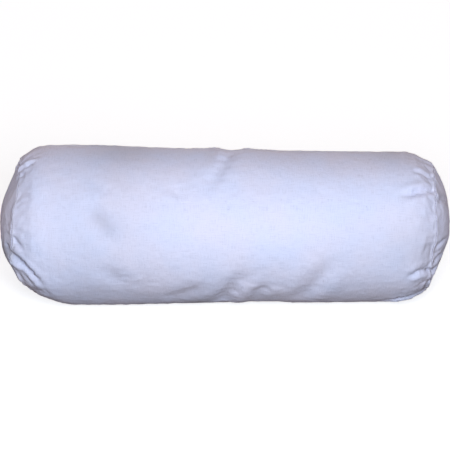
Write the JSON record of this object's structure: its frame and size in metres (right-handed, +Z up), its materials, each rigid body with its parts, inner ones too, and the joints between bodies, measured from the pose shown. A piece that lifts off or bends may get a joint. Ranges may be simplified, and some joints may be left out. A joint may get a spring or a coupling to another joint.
{
  "type": "bolster pillow",
  "caption": "Round bolster pillow: a white cotton tube with crowned round ends, fully stuffed with fibre, for support under the neck, back or knees.",
  "frame": {"origin": "middle of the underside, on the surface that the pillow rests on", "axes": "+X along the pillow's length towards its slimmer end, +Z up, +Y towards the side where the long seam is"},
  "size_m": [0.522, 0.185, 0.1755],
  "materials": {
    "cotton": "matt plain-weave white cotton",
    "filling": "fluffy white polyester fibre",
    "sewing_thread": "spun white polyester sewing thread",
    "overlock_thread": "textured white overlock thread"
  },
  "bodies": {
    "root": {"body_panel": "cotton", "end_panel_left": "cotton", "end_panel_right": "cotton", "fibre_filling": "filling", "end_seam_needle_thread_left": "sewing_thread", "end_seam_bobbin_thread_left": "sewing_thread", "end_seam_needle_thread_right": "sewing_thread", "end_seam_bobbin_thread_right": "sewing_thread", "long_seam_needle_thread": "sewing_thread", "long_seam_bobbin_thread": "sewing_thread", "closing_thread": "sewing_thread", "end_seam_overlock_left": "overlock_thread", "end_seam_overlock_right": "overlock_thread", "long_seam_overlock": "overlock_thread"}
  },
  "joints": []
}
